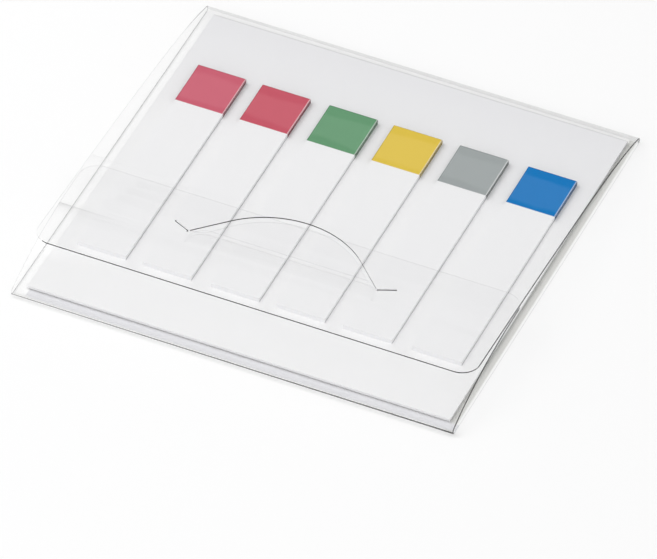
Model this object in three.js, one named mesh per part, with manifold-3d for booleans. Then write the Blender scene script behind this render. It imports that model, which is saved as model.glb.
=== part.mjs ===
// A set of six pads of film index flags on a card, held in a clear film wallet.
// The wallet is one strip of film folded twice: a front panel, a back panel and a flap.
// A tongue cut in the flap hooks through a slit in the front panel and holds the wallet shut.
// X runs along the folds, Y from the front fold to the hinge fold, Z up from the table.

import * as THREE from 'three';
import { mergeVertices } from 'three/addons/utils/BufferGeometryUtils.js';
import Module from 'manifold-3d';

const wasm = await Module();
wasm.setup();

// Driving dimensions, in millimetres and degrees

const filmThickness = 0.2;
const walletWidth = 72.2;
const walletDepth = 69.8;
const foldRadius = 0.6; // outside of both folds
const cornerRadius = 3.0; // free corners of the flap and of the front panel
const kerf = 0.25; // width of every cut through the film

const flapLength = 62.95; // from the outside of the hinge fold to the flap's free edge, in plan
const flapEdgeHeight = 6.0;
const flapLeaveAngle = 16; // slope at which the flap springs out of the hinge fold
const flapSpringRun = 8.7; // how far that slope carries before the film bends forward
const flapShoulderRun = 20.4;
const flapShoulderHeight = 4.3;

const panelLength = 26.85; // from the outside of the front fold to the panel's free edge, in plan
const panelLeaveAngle = 22;
const panelSpringRun = 6.0;
const panelShoulderRun = 13.4;
const panelShoulderHeight = 5.2;
const lapGap = 0.3; // clear air between the flap and the panel's free edge under it

const tongueWidth = 30.6; // across the root, at the crease
const tongueSetback = 11.45; // from the flap's free edge to the root
const tongueTipRadius = 15.0;
const tongueSideAngle = 45;
const reliefLength = 3.2; // the short cuts that run outwards from both ends of the root
const reliefAngle = 24;
const tongueGap = 0.12; // air over and under the tongue where it passes the slit
const tongueRun = 2.2; // plan length in which the tongue drops from the flap to below the panel

const slitSetback = 6.6; // from the panel's free edge back to the slit
const slitWidth = 30.4;
const slitEndRadius = 2.6;
const lipDepth = 3.2; // how far forward the slit's curved ends reach

const cardThickness = 0.4;
const cardSideMargin = 1.55; // wallet edge to card edge
const cardBackMargin = 1.1;
const cardFrontMargin = 2.4;

const padWidth = 8.0;
const padLength = 43.0;
const padHeight = 0.75; // the glued stack of film
const tipLength = 8.5; // the coloured end, which has no glue
const tipSpread = 0.1; // how much higher the loose end stands
const padBackMargin = 12.2; // card edge to the coloured end
const padSideMargin = 3.05; // card edge to the first and last pad

// The pads from left to right: their colour, and how far each was stuck down off its even place
const pads = [
  { colour: 0xd05f74, shift: 0 },
  { colour: 0xcd5068, shift: -0.2 },
  { colour: 0x6ca57e, shift: 0 },
  { colour: 0xe3ca54, shift: -0.25 },
  { colour: 0x9ba4a4, shift: -0.3 },
  { colour: 0x2f7dc6, shift: 0 },
];

const arcSteps = 12; // facets in each curve of an outline
const foldSteps = 8;
const pathStep = 2.2; // facet length along the bent film
const creaseLap = 1.0; // flat stretch of film in front of a crease
const overrun = 0.5; // film left beyond each free edge, until the outline is trimmed

// Sizes that follow from them

const frontY = -walletDepth / 2;
const backY = walletDepth / 2;
const halfFilm = filmThickness / 2;
const flapEdgeY = backY - flapLength;
const panelEdgeY = frontY + panelLength;
const tongueRootY = flapEdgeY + tongueSetback;
const slitY = panelEdgeY - slitSetback;
const lipRootY = slitY - lipDepth;
const radians = THREE.MathUtils.degToRad;

// Side-view curves of the film's middle, as points of y and z

const foldMiddle = foldRadius - halfFilm;

function foldPoints(centreY, side, leaveAngle) {
  const sweep = Math.PI - radians(leaveAngle);
  return Array.from({ length: foldSteps + 1 }, (_, i) => {
    const turn = (sweep * i) / foldSteps;
    const y = centreY + side * foldMiddle * Math.sin(turn);
    return new THREE.Vector2(y, foldRadius - foldMiddle * Math.cos(turn));
  });
}

const hingeFold = foldPoints(backY - foldRadius, 1, flapLeaveAngle);
const frontFold = foldPoints(frontY + foldRadius, -1, panelLeaveAngle);
const hingeTop = hingeFold.at(-1);
const frontTop = frontFold.at(-1);

function springCurve(start, direction, angle, springRun, shoulderRun, shoulderHeight, edgeY, edgeHeight) {
  return new THREE.CubicBezierCurve(
    start,
    new THREE.Vector2(
      start.x + direction * springRun * Math.cos(radians(angle)),
      start.y + springRun * Math.sin(radians(angle)),
    ),
    new THREE.Vector2(start.x + direction * shoulderRun, shoulderHeight),
    new THREE.Vector2(edgeY, edgeHeight),
  );
}

const flapCurve = springCurve(
  hingeTop, -1, flapLeaveAngle, flapSpringRun, flapShoulderRun, flapShoulderHeight,
  flapEdgeY - overrun, flapEdgeHeight,
);

// The point of a curve that lies over y, found by halving
function pointOver(curve, y) {
  const start = curve.getPoint(0);
  const end = curve.getPoint(1);
  let low = 0;
  let high = 1;
  for (let i = 0; i < 40; i += 1) {
    const middle = (low + high) / 2;
    const passed = (curve.getPoint(middle).x - y) * (end.x - start.x) > 0;
    if (passed) high = middle;
    else low = middle;
  }
  return new THREE.Vector2(y, curve.getPoint((low + high) / 2).y);
}

const panelEdgeHeight = pointOver(flapCurve, panelEdgeY).y - filmThickness - lapGap;
const panelCurve = springCurve(
  frontTop, 1, panelLeaveAngle, panelSpringRun, panelShoulderRun, panelShoulderHeight,
  panelEdgeY + overrun, panelEdgeHeight,
);

// Points along a curve at even steps, with a straight stretch of film just in front of its crease
function bentPath(curve, creaseY) {
  const start = curve.getPoint(0);
  const end = curve.getPoint(1);
  const direction = Math.sign(end.x - start.x);
  const crease = [creaseY - creaseLap, creaseY];
  const count = Math.round(Math.abs(end.x - start.x) / pathStep);
  const even = Array.from({ length: count - 1 }, (_, i) => start.x + ((end.x - start.x) * (i + 1)) / count);
  const kept = even.filter((y) => y < crease[0] - pathStep / 4 || y > crease[1] + pathStep / 4);
  const stations = [...kept, ...crease].sort((a, b) => direction * (a - b));
  return [...stations.map((y) => pointOver(curve, y)), end];
}

const flapPath = [hingeTop, ...bentPath(flapCurve, tongueRootY)];
const panelPath = [frontTop, ...bentPath(panelCurve, lipRootY)];
const walletPath = [
  ...panelPath.slice(1).reverse(),
  ...[...frontFold].reverse(),
  ...hingeFold,
  ...flapPath.slice(1),
];

// The tongue leaves the flap at its crease, drops through the slit and lies under the panel
const dropEnd = tongueRootY + tongueRun;
const underPanel = filmThickness + tongueGap;
const tongueRoot = pointOver(flapCurve, tongueRootY);
const beforeRoot = pointOver(flapCurve, tongueRootY - creaseLap);
const tongueReach = (() => {
  const side = radians(tongueSideAngle);
  const cap = tongueTipRadius * (1 - Math.cos(side));
  const straight = (tongueWidth / 2 - tongueTipRadius * Math.sin(side)) * Math.tan(side);
  return cap + straight;
})();

function tongueDrop() {
  const landing = new THREE.Vector2(dropEnd, pointOver(panelCurve, dropEnd).y - underPanel);
  const rootSlope = (tongueRoot.y - beforeRoot.y) / creaseLap;
  return new THREE.CubicBezierCurve(
    tongueRoot,
    new THREE.Vector2(tongueRoot.x + tongueRun / 3, tongueRoot.y + (rootSlope * tongueRun) / 3),
    new THREE.Vector2(landing.x - tongueRun / 3, landing.y),
    landing,
  );
}

const dropCurve = tongueDrop();
const tongueEndY = tongueRootY + tongueReach + overrun;
const underStations = Array.from({ length: 4 }, (_, i) => dropEnd + ((tongueEndY - dropEnd) * (i + 1)) / 4);
const tonguePath = [
  new THREE.Vector2().addVectors(beforeRoot, tongueRoot).divideScalar(2),
  ...dropCurve.getPoints(foldSteps),
  ...underStations.map((y) => new THREE.Vector2(y, pointOver(panelCurve, Math.min(y, panelEdgeY)).y - underPanel)),
];

// The lip in front of the slit is pressed down under the tongue
const lipRoot = pointOver(panelCurve, lipRootY);
const beforeLip = pointOver(panelCurve, lipRootY - creaseLap);
const lipEdge = new THREE.Vector2(slitY, pointOver(dropCurve, slitY).y - underPanel);
const lipSlope = (lipRoot.y - beforeLip.y) / creaseLap;
const lipCurve = new THREE.QuadraticBezierCurve(
  lipRoot,
  new THREE.Vector2(lipRootY + lipDepth / 3, lipRoot.y + (lipSlope * lipDepth) / 3),
  lipEdge,
);
const lipEnd = new THREE.Vector2().addVectors(lipEdge, lipCurve.getTangent(1).multiplyScalar(overrun));
const lipPath = [
  new THREE.Vector2().addVectors(beforeLip, lipRoot).divideScalar(2),
  ...lipCurve.getPoints(foldSteps),
  lipEnd,
];

// Solids

function solidFrom(geometry) {
  const bare = geometry.clone();
  bare.deleteAttribute('normal');
  bare.deleteAttribute('uv');
  const merged = mergeVertices(bare, 1e-5);
  return new wasm.Manifold(new wasm.Mesh({
    numProp: 3,
    vertProperties: new Float32Array(merged.attributes.position.array),
    triVerts: new Uint32Array(merged.index.array),
  }));
}

// Film of a given thickness along a side-view path, right across the wallet
function filmAlong(path, thickness) {
  const half = thickness / 2;
  const normals = path.slice(1).map((point, i) => {
    const along = point.clone().sub(path[i]).normalize();
    return new THREE.Vector2(-along.y, along.x);
  });
  const offsets = path.map((_, i) => {
    const before = normals[Math.max(i - 1, 0)];
    const after = normals[Math.min(i, normals.length - 1)];
    const middle = before.clone().add(after).normalize();
    return middle.multiplyScalar(half / middle.dot(after));
  });
  const upper = path.map((point, i) => point.clone().add(offsets[i]));
  const lower = path.map((point, i) => point.clone().sub(offsets[i]));
  const section = new THREE.Shape([...lower, ...upper.reverse()]);
  const geometry = new THREE.ExtrudeGeometry(section, { depth: walletWidth, bevelEnabled: false });
  geometry.translate(0, 0, -walletWidth / 2);
  const sideToFront = new THREE.Matrix4().makeBasis(
    new THREE.Vector3(0, 1, 0), new THREE.Vector3(0, 0, 1), new THREE.Vector3(1, 0, 0),
  );
  return solidFrom(geometry.applyMatrix4(sideToFront));
}

// An upright cutter with a given outline in plan, taller than the wallet
function uprightCutter(outline) {
  const height = flapEdgeHeight * 3;
  const geometry = new THREE.ExtrudeGeometry(outline, {
    depth: height, bevelEnabled: false, curveSegments: arcSteps,
  });
  return solidFrom(geometry.translate(0, 0, -flapEdgeHeight));
}

// A cut goes through one layer of film only: a thicker layer along the same path, within the outline
function cutLayer(body, path, outline) {
  const ends = [path.at(-2), path.at(-1)];
  const beyond = ends[1].clone().sub(ends[0]).setLength(overrun).add(ends[1]);
  const layer = filmAlong([...path.slice(1), beyond], filmThickness + lapGap);
  return body.subtract(layer.intersect(uprightCutter(outline)));
}

// Everything past a free edge with two round corners; side is the way in which the film ends
function pastEdge(edgeY, side) {
  const x = walletWidth / 2;
  const straightY = edgeY - side * cornerRadius;
  const outline = new THREE.Shape();
  outline.moveTo(-x - overrun, straightY);
  outline.lineTo(-x, straightY);
  outline.absarc(-x + cornerRadius, straightY, cornerRadius, Math.PI, (side * Math.PI) / 2, side > 0);
  outline.absarc(x - cornerRadius, straightY, cornerRadius, (side * Math.PI) / 2, 0, side > 0);
  outline.lineTo(x + overrun, straightY);
  outline.lineTo(x + overrun, edgeY + side * overrun * 3);
  outline.lineTo(-x - overrun, edgeY + side * overrun * 3);
  return outline;
}

// The tongue in plan: straight sides that run into a round tip. Growing it by the kerf gives its hole.
function tongueOutline(grow, rootY) {
  const side = radians(tongueSideAngle);
  const radius = tongueTipRadius + grow;
  const centreY = tongueRootY + tongueReach - tongueTipRadius;
  const rootX = tongueWidth / 2 + grow / Math.sin(side);
  const outline = new THREE.Shape();
  outline.moveTo(rootX, rootY);
  outline.lineTo(rootX, tongueRootY);
  outline.absarc(0, centreY, radius, Math.PI / 2 - side, Math.PI / 2 + side, false);
  outline.lineTo(-rootX, tongueRootY);
  outline.lineTo(-rootX, rootY);
  return outline;
}

// A relief cut, out from one end of the tongue's root; hand is 1 on the right and -1 on the left
function reliefOutline(hand) {
  const turn = radians(reliefAngle);
  const start = new THREE.Vector2(tongueWidth / 2 - kerf, tongueRootY);
  const along = new THREE.Vector2(Math.cos(turn), Math.sin(turn)).multiplyScalar(reliefLength + kerf);
  const across = new THREE.Vector2(-Math.sin(turn), Math.cos(turn)).multiplyScalar(kerf);
  const corners = [
    start,
    start.clone().add(along),
    start.clone().add(along).add(across),
    start.clone().add(across),
  ].map((corner) => new THREE.Vector2(hand * corner.x, corner.y));
  return new THREE.Shape(corners);
}

// The lip in plan: straight across at the slit, with round ends that run forward to its root
function lipOutline(grow, rootY) {
  const radius = slitEndRadius + grow;
  const x = slitWidth / 2 - slitEndRadius;
  const centreY = slitY - slitEndRadius;
  const outline = new THREE.Shape();
  outline.moveTo(x + radius, rootY);
  outline.lineTo(x + radius, centreY);
  outline.absarc(x, centreY, radius, 0, Math.PI / 2, false);
  outline.absarc(-x, centreY, radius, Math.PI / 2, Math.PI, false);
  outline.lineTo(-x - radius, rootY);
  return outline;
}

function makeWallet() {
  let film = filmAlong(walletPath, filmThickness);
  film = cutLayer(film, flapPath, pastEdge(flapEdgeY, -1));
  film = cutLayer(film, panelPath, pastEdge(panelEdgeY, 1));
  film = cutLayer(film, flapPath, tongueOutline(kerf, tongueRootY));
  film = cutLayer(film, flapPath, reliefOutline(1));
  film = cutLayer(film, flapPath, reliefOutline(-1));
  film = cutLayer(film, panelPath, lipOutline(kerf, lipRootY));
  const tongue = filmAlong(tonguePath, filmThickness)
    .intersect(uprightCutter(tongueOutline(0, tongueRootY - creaseLap)));
  const lip = filmAlong(lipPath, filmThickness)
    .intersect(uprightCutter(lipOutline(0, lipRootY - creaseLap)));
  return film.add(tongue).add(lip);
}

function geometryFrom(solid) {
  const mesh = solid.getMesh();
  const geometry = new THREE.BufferGeometry();
  geometry.setAttribute('position', new THREE.BufferAttribute(mesh.vertProperties, 3));
  geometry.setIndex(new THREE.BufferAttribute(mesh.triVerts, 1));
  geometry.computeVertexNormals();
  return geometry;
}

// Backing card, lying on the back panel

const cardWidth = walletWidth - 2 * cardSideMargin;
const cardDepth = walletDepth - cardBackMargin - cardFrontMargin;
const cardBackY = backY - cardBackMargin;

function makeCard() {
  const geometry = new THREE.BoxGeometry(cardWidth, cardDepth, cardThickness);
  return geometry.translate(0, cardBackY - cardDepth / 2, cardThickness / 2);
}

// One pad, seen from its side: a flat glued stack whose coloured end spreads a little
function makePad() {
  const outline = new THREE.Shape();
  outline.moveTo(0, 0);
  outline.lineTo(0, padHeight + tipSpread);
  outline.lineTo(-tipLength, padHeight);
  outline.lineTo(-padLength, padHeight);
  outline.lineTo(-padLength, 0);
  const geometry = new THREE.ExtrudeGeometry(outline, { depth: padWidth, bevelEnabled: false });
  geometry.translate(0, 0, -padWidth / 2);
  const sideToFront = new THREE.Matrix4().makeBasis(
    new THREE.Vector3(0, 1, 0), new THREE.Vector3(0, 0, 1), new THREE.Vector3(1, 0, 0),
  );
  return geometry.applyMatrix4(sideToFront);
}

// Assembly

const set = new THREE.Group();

const clearFilm = new THREE.MeshStandardMaterial({
  color: 0xf2f5f6, roughness: 0.12, metalness: 0, transparent: true, opacity: 0.25,
});
const wallet = new THREE.Mesh(geometryFrom(makeWallet()), clearFilm);
wallet.name = 'wallet';
set.add(wallet);

const whiteCard = new THREE.MeshStandardMaterial({ color: 0xf3f3f1, roughness: 0.8, metalness: 0 });
const card = new THREE.Mesh(makeCard(), whiteCard);
card.name = 'backing_card';
card.position.z = filmThickness;
set.add(card);

const cardTop = filmThickness + cardThickness;
const padPitch = (cardWidth - 2 * padSideMargin - padWidth) / (pads.length - 1);
const firstPadX = -cardWidth / 2 + padSideMargin + padWidth / 2;
pads.forEach(({ colour, shift }, i) => {
  const printedFilm = new THREE.MeshStandardMaterial({ color: colour, roughness: 0.35, metalness: 0 });
  const pad = new THREE.Mesh(makePad(), printedFilm);
  pad.name = `flag_pad_${i + 1}`;
  pad.position.set(firstPadX + i * padPitch + shift, cardBackY - padBackMargin, cardTop);
  set.add(pad);
});

export default set;
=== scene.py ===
import math

import bmesh
import bpy
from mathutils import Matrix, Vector


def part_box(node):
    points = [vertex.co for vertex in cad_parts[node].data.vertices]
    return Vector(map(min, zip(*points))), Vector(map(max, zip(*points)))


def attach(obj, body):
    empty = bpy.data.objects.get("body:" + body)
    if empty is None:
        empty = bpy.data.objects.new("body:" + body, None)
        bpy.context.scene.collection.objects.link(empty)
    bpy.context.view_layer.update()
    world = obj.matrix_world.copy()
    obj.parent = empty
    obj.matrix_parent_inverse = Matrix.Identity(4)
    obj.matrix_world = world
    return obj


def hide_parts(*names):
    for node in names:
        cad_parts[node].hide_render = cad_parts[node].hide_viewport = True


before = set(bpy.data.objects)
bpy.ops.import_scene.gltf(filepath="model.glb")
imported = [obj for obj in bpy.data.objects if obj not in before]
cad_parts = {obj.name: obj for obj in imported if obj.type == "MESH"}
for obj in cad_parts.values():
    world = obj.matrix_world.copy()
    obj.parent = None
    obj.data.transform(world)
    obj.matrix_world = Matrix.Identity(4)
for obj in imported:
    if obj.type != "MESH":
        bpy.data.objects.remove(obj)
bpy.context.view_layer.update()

# Camera
# The wallet is seen from the front and a little from the right, about halfway up, through a
# long lens that stands well back, so that its edges stay nearly parallel.

PHOTO_WIDTH = 657
VIEW_AZIMUTH = math.radians(24.45)
VIEW_ELEVATION = math.radians(43.64)
VIEW_DISTANCE = 1.596
VIEW_CENTRE = Vector((0.0056, -0.01208, 0.0))
LENS_PIXELS = 10668
SENSOR_WIDTH = 36
NEAREST_SEEN = 0.05
FARTHEST_SEEN = 20

scene = bpy.context.scene
camera_data = bpy.data.cameras.new("camera")
camera_data.sensor_fit = "HORIZONTAL"
camera_data.sensor_width = SENSOR_WIDTH
camera_data.lens = LENS_PIXELS * SENSOR_WIDTH / PHOTO_WIDTH
camera_data.clip_start = NEAREST_SEEN
camera_data.clip_end = FARTHEST_SEEN
camera = bpy.data.objects.new("camera", camera_data)
scene.collection.objects.link(camera)
scene.camera = camera
away = Vector((
    math.sin(VIEW_AZIMUTH) * math.cos(VIEW_ELEVATION),
    -math.cos(VIEW_AZIMUTH) * math.cos(VIEW_ELEVATION),
    math.sin(VIEW_ELEVATION),
))
camera.location = VIEW_CENTRE + away * VIEW_DISTANCE
camera.rotation_mode = "QUATERNION"
camera.rotation_quaternion = (-away).to_track_quat("-Z", "Y")

# Light
# A white sheet hangs over the table, and the room is pale at the front and dim at the back.
# A soft box on the left gives the soft shadow. Light crosses many faces of film here, so the
# limit on clear faces is raised.

WHITE = (1, 1, 1, 1)
CLEAR_FACES = 40
SHEET_LEVEL = 1.05
FRONT_WALL_LEVEL = 1.05
BACK_WALL_LEVEL = 0.15
WALL_TURN = 0.1  # where the front wall's light gives way to the back wall's
WALL_BLUR = 0.5
SHEET_HEIGHT = 0.7
SHEET_EDGE = 0.04
SOFT_BOX_SIZE = 0.45
SOFT_BOX_POWER = 1.6
SOFT_BOX_PLACE = Vector((-0.5, 0.05, 0.62))

scene.view_settings.view_transform = "Standard"
scene.cycles.transparent_max_bounces = CLEAR_FACES


class Signal:
    """A socket of a node tree that can be added, multiplied and so on."""

    def __init__(self, tree, socket):
        self.tree = tree
        self.socket = socket

    def maths(self, operation, *values, clamp=False):
        settings = {"operation": operation, "use_clamp": clamp}
        return put_node(self.tree, "ShaderNodeMath", settings, dict(enumerate(values)))

    def __add__(self, other):
        return self.maths("ADD", self, other)

    def __radd__(self, other):
        return self.maths("ADD", other, self)

    def __sub__(self, other):
        return self.maths("SUBTRACT", self, other)

    def __rsub__(self, other):
        return self.maths("SUBTRACT", other, self)

    def __mul__(self, other):
        return self.maths("MULTIPLY", self, other)

    def __rmul__(self, other):
        return self.maths("MULTIPLY", other, self)

    def __truediv__(self, other):
        return self.maths("DIVIDE", self, other)

    def __pow__(self, other):
        return self.maths("POWER", self, other)

    def __neg__(self):
        return self.maths("MULTIPLY", self, -1)

    def __abs__(self):
        return self.maths("ABSOLUTE", self)

    def clamp(self):
        return self.maths("ADD", self, 0, clamp=True)

    def above(self, edge, softness):
        """0 below the edge and 1 above it, with a soft step between."""
        return ((self - (edge - softness / 2)) / softness).clamp()


def feed(tree, slot, value):
    if isinstance(value, Signal):
        tree.links.new(value.socket, slot)
    else:
        slot.default_value = value


def put_node(tree, kind, settings=None, sockets=None, output=0):
    """Adds a node, sets its settings first and then its sockets, and returns one output."""
    node = tree.nodes.new(kind)
    for name, value in (settings or {}).items():
        setattr(node, name, value)
    for name, value in (sockets or {}).items():
        feed(tree, node.inputs[name], value)
    return None if output is None else Signal(tree, node.outputs[output])


def add_soft_box():
    data = bpy.data.lights.new("soft_box", "AREA")
    data.shape = "SQUARE"
    data.size = SOFT_BOX_SIZE
    data.energy = SOFT_BOX_POWER
    lamp = bpy.data.objects.new("soft_box", data)
    lamp.location = SOFT_BOX_PLACE
    lamp.rotation_mode = "QUATERNION"
    lamp.rotation_quaternion = (-SOFT_BOX_PLACE).to_track_quat("-Z", "Y")
    scene.collection.objects.link(lamp)


def light_the_room():
    world = bpy.data.worlds.new("room")
    scene.world = world
    world.use_nodes = True
    tree = world.node_tree
    tree.nodes.clear()
    direction = put_node(tree, "ShaderNodeTexCoord")
    back, upward = (
        put_node(tree, "ShaderNodeSeparateXYZ", sockets={0: direction}, output=axis) for axis in "YZ"
    )
    wall = back.above(WALL_TURN, WALL_BLUR) * (BACK_WALL_LEVEL - FRONT_WALL_LEVEL) + FRONT_WALL_LEVEL
    room = upward.above(SHEET_HEIGHT, SHEET_EDGE) * (SHEET_LEVEL - wall) + wall
    seen = put_node(tree, "ShaderNodeLightPath", output="Is Camera Ray")
    strength = seen * (1 - room) + room
    background = put_node(tree, "ShaderNodeBackground", sockets={"Color": WHITE, "Strength": strength})
    put_node(tree, "ShaderNodeOutputWorld", sockets={"Surface": background}, output=None)


add_soft_box()
light_the_room()

# Table
# A smooth white table top with a faint polish. It runs out to pure white, keeps the wallet's
# soft shadow, and mirrors its edges weakly.

FLOOR_SPAN = 4.0
FLOOR_DROP = 0.00002
FLOOR_WHITE = (0.94, 0.94, 0.94, 1)
FLOOR_LIFT = 0.04
FLOOR_MIRROR = 0.04
FLOOR_ROUGHNESS = 0.12


class Finish:
    """A material whose nodes are added one by one."""

    def __init__(self, name):
        self.material = bpy.data.materials.new(name)
        self.material.use_nodes = True
        self.tree = self.material.node_tree
        self.tree.nodes.clear()

    def node(self, kind, settings=None, sockets=None, output=0):
        return put_node(self.tree, kind, settings, sockets, output)

    def surface(self, shader):
        self.node("ShaderNodeOutputMaterial", sockets={"Surface": shader}, output=None)
        return self.material

    def mix(self, factor, first, second):
        """A mix of two shaders."""
        return self.node("ShaderNodeMixShader", sockets={0: factor, 1: first, 2: second})

    def blend(self, factor, first, second):
        """A mix of two colours."""
        return self.node("ShaderNodeMix", {"data_type": "RGBA"}, {0: factor, 6: first, 7: second}, output=2)

    def clear(self, colour):
        return self.node("ShaderNodeBsdfTransparent", sockets={"Color": colour})

    def light_path(self, ray):
        return self.node("ShaderNodeLightPath", output=ray)

    def attribute(self, name):
        return self.node("ShaderNodeAttribute", {"attribute_name": name}, output="Fac")

    def place(self):
        return self.node("ShaderNodeTexCoord", output="Object")

    def along(self, axis):
        return self.node("ShaderNodeSeparateXYZ", sockets={0: self.place()}, output=axis)

    def noise(self, scale, detail, stretch=(1, 1, 1)):
        spread = self.node("ShaderNodeMapping", sockets={"Vector": self.place(), "Scale": stretch})
        return self.node("ShaderNodeTexNoise", sockets={"Vector": spread, "Scale": scale, "Detail": detail})

    def bump(self, height, strength, distance):
        return self.node("ShaderNodeBump", sockets={
            "Strength": strength, "Distance": distance, "Height": height,
        })


def table_material():
    table = Finish("white_table")
    matt = table.node("ShaderNodeBsdfDiffuse", sockets={"Color": FLOOR_WHITE})
    polish = table.node(
        "ShaderNodeBsdfAnisotropic", sockets={"Color": WHITE, "Roughness": FLOOR_ROUGHNESS},
    )
    lift = table.node(
        "ShaderNodeEmission", sockets={"Strength": table.light_path("Is Camera Ray") * FLOOR_LIFT},
    )
    top = table.mix(FLOOR_MIRROR, matt, polish)
    return table.surface(table.node("ShaderNodeAddShader", sockets={0: top, 1: lift}))


def add_table():
    half = FLOOR_SPAN / 2
    mesh = bpy.data.meshes.new("table_top")
    corners = [(-half, -half), (half, -half), (half, half), (-half, half)]
    mesh.from_pydata([(x, y, -FLOOR_DROP) for x, y in corners], [], [(0, 1, 2, 3)])
    mesh.materials.append(table_material())
    table = bpy.data.objects.new("table_top", mesh)
    scene.collection.objects.link(table)


add_table()

# Backing card
# A plain white card with a smooth coated face, cut square. It lies loose on the back panel
# of the wallet and carries the pads.


def rgb(red, green, blue):
    """A screen colour, from 0 to 255, as the light that it stands for."""
    def light(level):
        level /= 255
        return level / 12.92 if level <= 0.04045 else ((level + 0.055) / 1.055) ** 2.4
    return light(red), light(green), light(blue), 1


CARD_WHITE = rgb(240, 240, 241)
CARD_FIBRE = rgb(236, 236, 236)
CARD_BACK_SHADE = rgb(232, 232, 234)  # painted shade towards the hinge, where less light comes in
CARD_SHADE_FADE = 0.026
CARD_EDGE_SHADE = rgb(214, 214, 215)
CARD_EDGE_SHADE_WIDTH = 0.00018
FIBRE_SCALE = 9000
FIBRE_SHARE = 0.6
CLOUD_SCALE = 120
GRAIN_STRENGTH = 0.3
GRAIN_HEIGHT = 0.000004
CARD_ROUGHNESS = 0.55
CARD_ROUGHNESS_CHANGE = 0.15
CARD_GLOSS = 0.35


def card_material(high):
    card = Finish("coated_card")
    fibre = card.noise(FIBRE_SCALE, 4, (1, 0.35, 1))
    cloud = card.noise(CLOUD_SCALE, 2)
    mottle = (fibre * FIBRE_SHARE + cloud * (1 - FIBRE_SHARE)).clamp()
    back = card.along("Y")
    colour = card.blend(mottle, CARD_FIBRE, CARD_WHITE)
    # Painted shade: the card turns darker towards the hinge.
    colour = card.blend(back.above(high.y - CARD_SHADE_FADE / 2, CARD_SHADE_FADE), colour, CARD_BACK_SHADE)
    # Painted shade: a thin grey line along the card's back edge.
    colour = card.blend(back.above(high.y - CARD_EDGE_SHADE_WIDTH, CARD_EDGE_SHADE_WIDTH / 2), colour, CARD_EDGE_SHADE)
    return card.surface(card.node("ShaderNodeBsdfPrincipled", sockets={
        "Base Color": colour,
        "Roughness": CARD_ROUGHNESS + fibre * CARD_ROUGHNESS_CHANGE,
        "Specular IOR Level": CARD_GLOSS,
        "Normal": card.bump(fibre, GRAIN_STRENGTH, GRAIN_HEIGHT),
    }))


card_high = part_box("backing_card")[1]
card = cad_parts["backing_card"]
card.data.materials.clear()
card.data.materials.append(card_material(card_high))

# Flag pads
# Each pad is a stack of thin film flags. The free ends are printed in one colour, lie slightly
# out of line and stand a little open. The rest is glued into one block and stuck to the card.

FLAGS_IN_PAD = 20
PAD_WIDTH = 0.008
PAD_LENGTH = 0.043
PAD_HEIGHT = 0.00075
TIP_LENGTH = 0.0085
TIP_SPREAD = 0.0001
FLAG_SCATTER = 0.00004
FLAG_TURN = math.radians(0.08)
FILM_SHARE = 0.97
LENGTH_CUTS = 16
SEED_STEP = 10

PAD_FINISHES = {
    "flag_pad_1": ("pink_flags", rgb(203, 97, 115)),
    "flag_pad_2": ("red_flags", rgb(200, 88, 104)),
    "flag_pad_3": ("green_flags", rgb(102, 154, 115)),
    "flag_pad_4": ("yellow_flags", rgb(224, 194, 73)),
    "flag_pad_5": ("grey_flags", rgb(160, 166, 166)),
    "flag_pad_6": ("blue_flags", rgb(0, 119, 190)),
}
BLACK = (0, 0, 0, 1)
PRINT_PALE = 0.025
PRINT_DEEP = 0.035  # in the bands across both ends of the print
PRINT_WANDER = 0.0002
BAND_WANDER = 0.0012
BACK_BAND = 0.0001
BACK_PATCH = 0.002
FRONT_BAND = 0.001
FRONT_PATCH = 0.003
BAND_BLUR = 0.0007
DRIFT_SCALE = 300
PATCH_SCALE = 110
TIP_HIGHLIGHT_WIDTH = 0.00014
TIP_HIGHLIGHT_SHARE = 0.4
TIP_SHADE_WIDTH = 0.0001
TIP_SHADE_SHARE = 0.3
RIM_BLUR = 0.00004
TIP_WALL_SHADE = (0.01, 0.01, 0.01, 1)
TIP_WALL_SHADE_SHARE = 0.6
TIP_WALL_SHADE_CHANGE = 0.25
FLAG_ROUGHNESS = 0.26
FLAG_ROUGHNESS_CHANGE = 0.1
FLAG_GLOSS = 0.1

BODY_WHITE = rgb(243, 243, 244)
SIDE_WHITE = rgb(236, 236, 238)
BODY_COVER = 0.96
BODY_SHADE = (0.985, 0.985, 0.985, 1)
BODY_ROUGHNESS = 0.35
BODY_GLOSS = 0.3
TOP_SHARE = 0.05
LAYER_SCALE = 500
FOOT_SHADE_SHARE = 0.75
FOOT_SHADE_GREY = rgb(112, 112, 114)
FOOT_SHADE_HEIGHT = 0.0002
FOOT_SHADE_BLUR = 0.00008


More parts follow.
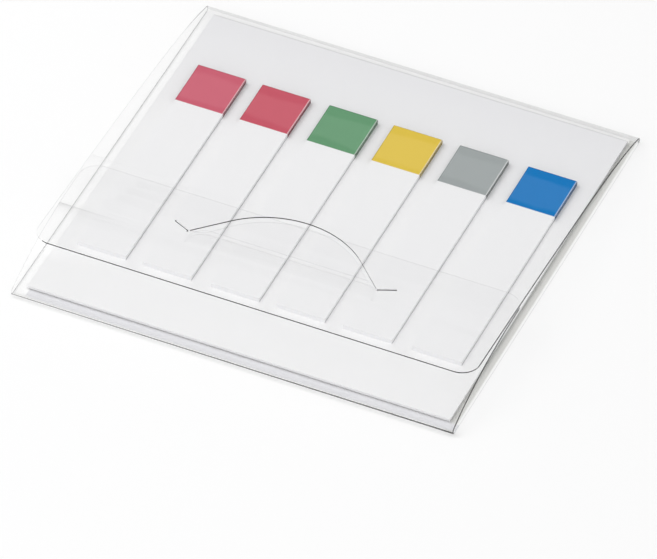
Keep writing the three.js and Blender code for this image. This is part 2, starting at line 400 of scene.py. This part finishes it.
def flag_material(name, ink, low, high):
    """The printed ends of one pad's flags."""
    pad = Finish(name)
    across = pad.along("X")
    back = pad.along("Y")
    wall = pad.attribute("wall")
    tone = pad.attribute("tone")
    drift = pad.noise(DRIFT_SCALE, 3, (0.5, 1.6, 1))
    patch = pad.noise(PATCH_SCALE, 1, (1, 0.2, 1))
    print_end = high.y - TIP_LENGTH
    printed = (back + drift * PRINT_WANDER).above(print_end + PRINT_WANDER / 2, PRINT_WANDER)
    wander = drift * BAND_WANDER
    back_band = (back + wander + patch * BACK_PATCH).above(high.y - BACK_BAND, BAND_BLUR)
    front_band = 1 - (back - wander - patch * FRONT_PATCH).above(print_end - FRONT_BAND, BAND_BLUR)
    pale = pad.blend(PRINT_PALE, ink, WHITE)
    deep = pad.blend(PRINT_DEEP, ink, BLACK)
    face = pad.blend((back_band + front_band).clamp(), pale, deep)
    # Painted highlight: a thin light line along the right top edge of each printed end.
    right_highlight = across.above(high.x - TIP_HIGHLIGHT_WIDTH, RIM_BLUR)
    # Painted shade: thin dark lines along the left and back top edges of each printed end.
    left_shade = 1 - across.above(low.x + TIP_SHADE_WIDTH, RIM_BLUR)
    back_shade = back.above(high.y - TIP_SHADE_WIDTH, RIM_BLUR)
    face = pad.blend((left_shade + back_shade).clamp() * TIP_SHADE_SHARE, face, BLACK)
    face = pad.blend(right_highlight * TIP_HIGHLIGHT_SHARE, face, WHITE)
    # Painted shade: the walls of the printed ends are the ink darkened towards black, a little more or less
    # on each flag.
    edge = pad.blend(TIP_WALL_SHADE_SHARE + tone * TIP_WALL_SHADE_CHANGE, ink, TIP_WALL_SHADE)
    tip = pad.blend(wall, face, edge)
    unprinted = pad.blend(tone, BODY_WHITE, SIDE_WHITE)
    return pad.surface(pad.node("ShaderNodeBsdfPrincipled", sockets={
        "Base Color": pad.blend(printed, unprinted, tip),
        "Roughness": FLAG_ROUGHNESS + drift * FLAG_ROUGHNESS_CHANGE,
        "Specular IOR Level": FLAG_GLOSS,
    }))


def glued_material(card_top):
    """The glued rest of the flags, with a painted grey line of shade low on its right side."""
    body = Finish("clear_flags")
    up = body.along("Z")
    top = up.above(card_top + PAD_HEIGHT * (1 - TOP_SHARE), PAD_HEIGHT * TOP_SHARE)
    # Painted shade: a grey line at the foot of the block's right side, where it meets the card.
    foot_shade = (1 - up.above(card_top + FOOT_SHADE_HEIGHT, FOOT_SHADE_BLUR)) * body.attribute("side")
    layers = body.noise(LAYER_SCALE, 3, (0.05, 0.05, 60))
    wall = body.blend(layers, BODY_WHITE, SIDE_WHITE)
    wall = body.blend(foot_shade * FOOT_SHADE_SHARE, wall, FOOT_SHADE_GREY)
    milky = body.node("ShaderNodeBsdfPrincipled", sockets={
        "Base Color": body.blend(top, wall, BODY_WHITE),
        "Roughness": BODY_ROUGHNESS,
        "Specular IOR Level": BODY_GLOSS,
    })
    block = body.mix(1 - top * (1 - BODY_COVER), body.clear(WHITE), milky)
    return body.surface(body.mix(body.light_path("Is Shadow Ray"), block, body.clear(BODY_SHADE)))


def flag_stack_tree():
    """A pad: loose flags, one on another, in front of Place, and the glued block before them."""
    tree = bpy.data.node_groups.new("flag_stack", "GeometryNodeTree")
    face = tree.interface
    for name, kind in [
        ("Flags", "NodeSocketInt"), ("Width", "NodeSocketFloat"), ("Length", "NodeSocketFloat"),
        ("Height", "NodeSocketFloat"), ("Tip Length", "NodeSocketFloat"), ("Tip Spread", "NodeSocketFloat"),
        ("Scatter", "NodeSocketFloat"), ("Turn", "NodeSocketFloat"), ("Seed", "NodeSocketInt"),
        ("Place", "NodeSocketVector"), ("Ink", "NodeSocketMaterial"), ("Clear", "NodeSocketMaterial"),
    ]:
        face.new_socket(name, in_out="INPUT", socket_type=kind)
    face.new_socket("Geometry", in_out="OUTPUT", socket_type="NodeSocketGeometry")
    given = tree.nodes.new("NodeGroupInput")

    def put(kind, settings=None, sockets=None, output=0):
        return put_node(tree, kind, settings, sockets, output)

    def value(name):
        return Signal(tree, given.outputs[name])

    def vector(x, y, z):
        return put("ShaderNodeCombineXYZ", sockets={"X": x, "Y": y, "Z": z})

    def part_of(place, axis):
        return put("ShaderNodeSeparateXYZ", sockets={0: place}, output=axis)

    def random(lowest, highest, step):
        return put("FunctionNodeRandomValue", {"data_type": "FLOAT"}, {
            2: lowest, 3: highest, "Seed": value("Seed") + step,
        }, output=1)

    def store(geometry, name, amount, domain="FACE"):
        return put("GeometryNodeStoreNamedAttribute", {"data_type": "FLOAT", "domain": domain}, {
            "Geometry": geometry, "Name": name, "Value": amount,
        })

    x, y, z = (part_of(value("Place"), axis) for axis in "XYZ")
    tip_length = value("Tip Length")
    pitch = value("Height") / value("Flags")

    flag = put("GeometryNodeMeshCube", sockets={
        "Size": vector(value("Width"), tip_length, pitch * FILM_SHARE),
        "Vertices X": 2, "Vertices Y": LENGTH_CUTS, "Vertices Z": 2,
    })
    line = put("GeometryNodeMeshLine", sockets={
        "Count": value("Flags"),
        "Start Location": vector(x, y - tip_length / 2, z + pitch / 2),
        "Offset": vector(0.0, 0.0, pitch),
    })
    turned = random(-value("Turn"), value("Turn"), 0)
    stack = put("GeometryNodeInstanceOnPoints", sockets={
        "Points": line, "Instance": flag, "Rotation": vector(0.0, 0.0, turned),
    })
    shifts = [random(-value("Scatter"), value("Scatter"), step) for step in (1, 2)]
    stack = put("GeometryNodeTranslateInstances", sockets={
        "Instances": stack, "Translation": vector(*shifts, 0.0),
    })
    stack = store(stack, "tone", random(0.0, 1.0, 3), "INSTANCE")
    stack = put("GeometryNodeRealizeInstances", sockets={"Geometry": stack})
    here = put("GeometryNodeInputPosition")
    past = ((part_of(here, "Y") - y + tip_length) / tip_length).clamp()
    opened = past * past * ((part_of(here, "Z") - z) / value("Height")) * value("Tip Spread")
    stack = put("GeometryNodeSetPosition", sockets={"Geometry": stack, "Offset": vector(0.0, 0.0, opened)})
    upward = abs(part_of(put("GeometryNodeInputNormal"), "Z"))
    stack = store(stack, "wall", 1 - upward.above(0.5, 0.01))

    glued_length = value("Length") - tip_length
    block = put("GeometryNodeMeshCube", sockets={
        "Size": vector(value("Width"), glued_length, value("Height")),
    })
    middle = vector(x, y - tip_length - glued_length / 2, z + value("Height") / 2)
    block = put("GeometryNodeTransform", sockets={"Geometry": block, "Translation": middle})
    rightward = part_of(put("GeometryNodeInputNormal"), "X")
    block = store(block, "side", rightward.above(0.5, 0.01))
    block = store(block, "glued", 1.0)

    pad = put("GeometryNodeJoinGeometry")
    for half in (block, stack):
        feed(tree, pad.socket.node.inputs[0], half)
    pad = put("GeometryNodeRealizeInstances", sockets={"Geometry": pad})
    pad = put("GeometryNodeSetMaterial", sockets={"Geometry": pad, "Material": value("Ink")})
    glued = put("GeometryNodeInputNamedAttribute", {"data_type": "FLOAT"}, {"Name": "glued"})
    pad = put("GeometryNodeSetMaterial", sockets={
        "Geometry": pad, "Selection": glued, "Material": value("Clear"),
    })
    put("NodeGroupOutput", sockets={"Geometry": pad}, output=None)
    return tree


def plain_mesh(maker, name):
    """The finished mesh of an object's modifiers, as a new object without them."""
    evaluated = maker.evaluated_get(bpy.context.evaluated_depsgraph_get())
    mesh = bpy.data.meshes.new_from_object(evaluated)
    mesh.name = name
    piece = bpy.data.objects.new(name, mesh)
    scene.collection.objects.link(piece)
    bpy.data.objects.remove(maker)
    return piece


def add_pad(node, seed, tree, card_top, glued):
    slot, ink = PAD_FINISHES[node]
    low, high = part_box(node)
    printed = flag_material(slot, ink, low, high)
    maker = bpy.data.objects.new("maker", bpy.data.meshes.new("maker"))
    scene.collection.objects.link(maker)
    modifier = maker.modifiers.new("stack", "NODES")
    modifier.node_group = tree
    sizes = {
        "Flags": FLAGS_IN_PAD, "Width": PAD_WIDTH, "Length": PAD_LENGTH, "Height": PAD_HEIGHT,
        "Tip Length": TIP_LENGTH, "Tip Spread": TIP_SPREAD, "Scatter": FLAG_SCATTER, "Turn": FLAG_TURN,
        "Seed": seed, "Place": ((low.x + high.x) / 2, high.y, card_top), "Ink": printed, "Clear": glued,
    }
    for socket in tree.interface.items_tree:
        if socket.name in sizes:
            modifier[socket.identifier] = sizes[socket.name]
    pad = plain_mesh(maker, f"{node}_stack")
    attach(pad, "root")
    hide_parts(node)


flag_stack = flag_stack_tree()
glued = glued_material(card_high.z)
for number, node in enumerate(PAD_FINISHES):
    add_pad(node, number * SEED_STEP, flag_stack, card_high.z, glued)

# Wallet
# One strip of clear, glossy film, cut and then folded twice. Its faces are almost invisible but
# for what they mirror and some painted grey shade; its cut edges show as thin lines of painted shade.

FILM_THICKNESS = 0.0002
FOLD_RADIUS = 0.0006
WELD_GAP = 0.00002
SMOOTH_ANGLE = math.radians(25)

FACE_HAZE = 0.002
HAZE_WHITE = (0.9, 0.9, 0.9, 1)
FILM_MIRROR = 0.012
GRAZING_MIRROR = 0.4
FILM_ROUGHNESS = 0.07
RIPPLE_SCALE = 60
RIPPLE_STRENGTH = 0.1
RIPPLE_HEIGHT = 0.00004

# Painted shade: grey tints of the film in front of the card, beside it, and along the right edge of the
# upper layers.
FRONT_SHADE = rgb(247, 247, 248)  # on the strip of back panel in front of the card
SIDE_SHADE = rgb(244, 244, 243)  # on the strip to the right of the card
STRIP_START = 0.0004
CLEAR_RIM = 0.0004
RIM_SHADE = rgb(150, 150, 152)  # along the right edge of the upper layers
RIM_WIDTH = 0.0001
RIM_STEP = 0.00002
SHADE_BLUR = 0.0002
TABLE_BLUR = 0.00005

FILM_SHADOW = (0.99, 0.99, 0.99, 1)
FOLD_SHADOW = (0.7, 0.7, 0.69, 1)
SHADOW_BLUR = 0.0004

# Painted shade: the cut edges are a dark grey, shown stronger or weaker by which way each wall faces.
EDGE_GREY = rgb(14, 14, 16)
EDGE_ROUGHNESS = 0.5
EDGE_GLOSS = 0.2
NEAR_COVER = 0.97
LEFT_COVER = 0.5
FAR_COVER = 0.17
MOUTH_COVER = 0.08
FOLD_SHADE_COVER = 0.8
FOLD_LINE = 0.00012
HINGE_REACH = 0.008

# Boxes around the tongue and around the slit, from the middle of the wallet's outline
TONGUE_HALF = 0.019
TONGUE_FRONT = -0.0176
TONGUE_BACK = -0.0072
TONGUE_LEVEL = 0.0048
SLIT_HALF = 0.0165
SLIT_FRONT = -0.0185
SLIT_BACK = -0.0138
SLIT_TOP = 0.0056


def film_material(low, high, card_low, card_high):
    film = Finish("clear_film")
    right = film.along("X")
    back = film.along("Y")
    up = film.along("Z")
    on_table = 1 - up.above(FILM_THICKNESS * 1.2, TABLE_BLUR)
    past_fold = back.above(low.y + FOLD_RADIUS * 1.3, SHADE_BLUR)
    from_left = right.above(card_low.x + STRIP_START, SHADE_BLUR)
    front_strip = (1 - back.above(card_low.y, SHADE_BLUR)) * past_fold * from_left
    side_strip = right.above(card_high.x, SHADE_BLUR) * (1 - right.above(high.x - CLEAR_RIM, SHADE_BLUR))
    rim = right.above(high.x - RIM_WIDTH, RIM_STEP) * (1 - on_table)
    # Painted shade: the film is tinted grey in the strips in front of and beside the card and along its
    # right rim.
    clear = film.mix(front_strip * on_table, film.clear(WHITE), film.clear(FRONT_SHADE))
    clear = film.mix(side_strip * on_table * (1 - front_strip), clear, film.clear(SIDE_SHADE))
    clear = film.mix(rim, clear, film.clear(RIM_SHADE))
    haze = film.node("ShaderNodeBsdfDiffuse", sockets={"Color": HAZE_WHITE})
    ripple = film.noise(RIPPLE_SCALE, 1, (1, 0.4, 1))
    gloss = film.node("ShaderNodeBsdfAnisotropic", sockets={
        "Color": WHITE,
        "Roughness": FILM_ROUGHNESS,
        "Normal": film.bump(ripple, RIPPLE_STRENGTH, RIPPLE_HEIGHT),
    })
    facing = film.node("ShaderNodeLayerWeight", sockets={"Blend": 0.5}, output="Facing")
    mirrored = FILM_MIRROR + facing ** 5 * GRAZING_MIRROR
    sheet = film.mix(mirrored, film.mix(FACE_HAZE, clear, haze), gloss)
    at_fold = 1 - back.above(low.y + FOLD_RADIUS * 1.5, SHADOW_BLUR)
    at_fold = at_fold * (1 - up.above(FOLD_RADIUS * 3, SHADOW_BLUR))
    lamp_ray = film.light_path("Is Shadow Ray")
    sheet = film.mix(lamp_ray, sheet, film.clear(FOLD_SHADOW))
    return film.surface(film.mix(lamp_ray * (1 - at_fold), sheet, film.clear(FILM_SHADOW)))


def edge_material():
    edge = Finish("cut_film_edge")
    solid = edge.node("ShaderNodeBsdfPrincipled", sockets={
        "Base Color": EDGE_GREY, "Roughness": EDGE_ROUGHNESS, "Specular IOR Level": EDGE_GLOSS,
    })
    return edge.surface(edge.mix(edge.attribute("cover"), edge.clear(WHITE), solid))


def edge_cover(centre, normal, low, high):
    """How dark a wall of the cut film shows, or None for the sheet's own faces. The darkness is
    painted shade, stronger on walls facing the camera and weaker on walls facing left or back.
    """
    # Painted shade: the lowest faces of the front fold and the outermost faces of the hinge are no cut
    # edges, but get the dark finish as thin lines.
    if centre.y < low.y + FOLD_LINE and centre.z < FOLD_RADIUS and abs(normal.x) < 0.5:
        return FOLD_SHADE_COVER
    if centre.y > high.y - FOLD_LINE and abs(normal.x) < 0.5:
        return FAR_COVER
    in_fold = centre.y < low.y + FOLD_RADIUS or centre.y > high.y - FOLD_RADIUS
    side_wall = abs(normal.x) > 0.9
    if side_wall and centre.y > high.y - HINGE_REACH:
        return LEFT_COVER
    if not side_wall and (abs(normal.z) > 0.3 or in_fold):
        return None
    if abs(centre.x) < TONGUE_HALF and TONGUE_FRONT < centre.y < TONGUE_BACK and centre.z > TONGUE_LEVEL:
        inward = centre.x * normal.x + (centre.y - TONGUE_FRONT) * normal.y
        return NEAR_COVER if inward < 0 else MOUTH_COVER
    if centre.z < FILM_THICKNESS * 1.2:
        return LEFT_COVER if normal.x < 0 else FAR_COVER
    if abs(centre.x) < SLIT_HALF and SLIT_FRONT < centre.y < SLIT_BACK and centre.z < SLIT_TOP:
        return MOUTH_COVER
    if normal.y > 0.4:
        return MOUTH_COVER
    return FAR_COVER if normal.x < -0.4 else NEAR_COVER


def add_wallet():
    low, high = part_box("wallet")
    shape = bmesh.new()
    shape.from_mesh(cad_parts["wallet"].data)
    bmesh.ops.remove_doubles(shape, verts=shape.verts, dist=WELD_GAP)
    cover = shape.faces.layers.float.new("cover")
    for part in shape.faces:
        part.smooth = True
        shown = edge_cover(part.calc_center_median(), part.normal, low, high)
        part.material_index = int(shown is not None)
        part[cover] = shown or 0.0
    mesh = bpy.data.meshes.new("wallet_film")
    shape.to_mesh(mesh)
    shape.free()
    mesh.set_sharp_from_angle(angle=SMOOTH_ANGLE)
    mesh.materials.append(film_material(low, high, *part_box("backing_card")))
    mesh.materials.append(edge_material())
    wallet = bpy.data.objects.new("wallet_film", mesh)
    scene.collection.objects.link(wallet)
    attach(wallet, "root")
    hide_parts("wallet")


add_wallet()
